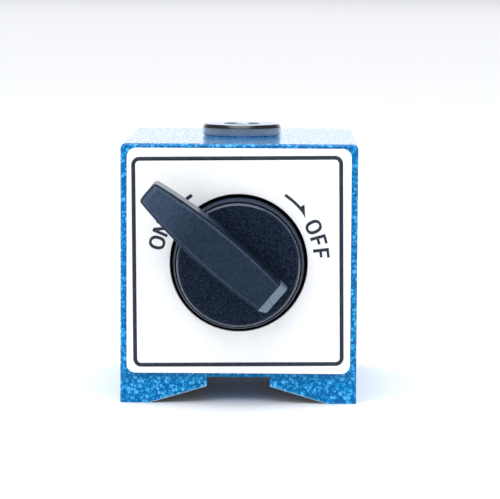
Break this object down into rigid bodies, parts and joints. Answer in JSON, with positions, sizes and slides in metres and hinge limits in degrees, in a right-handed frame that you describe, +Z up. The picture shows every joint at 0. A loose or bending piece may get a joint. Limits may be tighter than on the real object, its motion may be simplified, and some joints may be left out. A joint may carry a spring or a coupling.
{
  "type": "magnetic base",
  "caption": "Switchable magnetic base: a V-bottomed steel block with a quarter-turn knob on its front and a threaded post boss on top.",
  "frame": {"origin": "on the plane that the base stands on, under the post thread and midway along the block, on the line of the V groove", "axes": "+Z up along the post thread, +Y from the knob to the back, +X to the right as seen from the front"},
  "size_m": [0.05, 0.076, 0.0577],
  "materials": {
    "paint": "gloss hammertone",
    "bright_steel": "turned",
    "adhesive": "matt",
    "plate": "satin, printed",
    "bronze": "turned",
    "hardened_steel": "ground",
    "nylon": "matt",
    "acetal": "turned",
    "aluminium": "turned",
    "soft_steel": "turned",
    "ferrite": "sintered",
    "zinc_steel": "zinc plated",
    "knob_plastic": "fine grained moulding",
    "cover_aluminium": "turned face"
  },
  "bodies": {
    "base": {"left_pole_block": "paint", "right_pole_block": "paint", "upper_spacer_bar": "paint", "lower_spacer_bar": "paint", "tie_rivets": "paint", "post_boss": "bright_steel", "adhesive_sheet": "adhesive", "face_plate": "plate", "front_bearing": "acetal", "stop_pin": "hardened_steel", "thrust_washer": "nylon", "rear_bush": "bronze", "disc_spring": "hardened_steel", "rear_cover": "cover_aluminium", "rear_cover_screws": "zinc_steel"},
    "rotor": {"knob": "knob_plastic", "knob_insert": "bronze", "rotor_front_cap": "aluminium", "rotor_rear_cap": "aluminium", "rotor_pole_left": "soft_steel", "rotor_pole_right": "soft_steel", "upper_magnet": "ferrite", "lower_magnet": "ferrite", "rotor_rivets": "bronze", "rotor_screw": "zinc_steel", "lock_washer": "zinc_steel"}
  },
  "joints": [
    {"name": "knob_turn", "type": "hinge", "parent": "base", "child": "rotor", "pos_m": [0, -0.0315, 0.03], "axis": [0, 1, 0], "range_deg": [0, 90]}
  ]
}
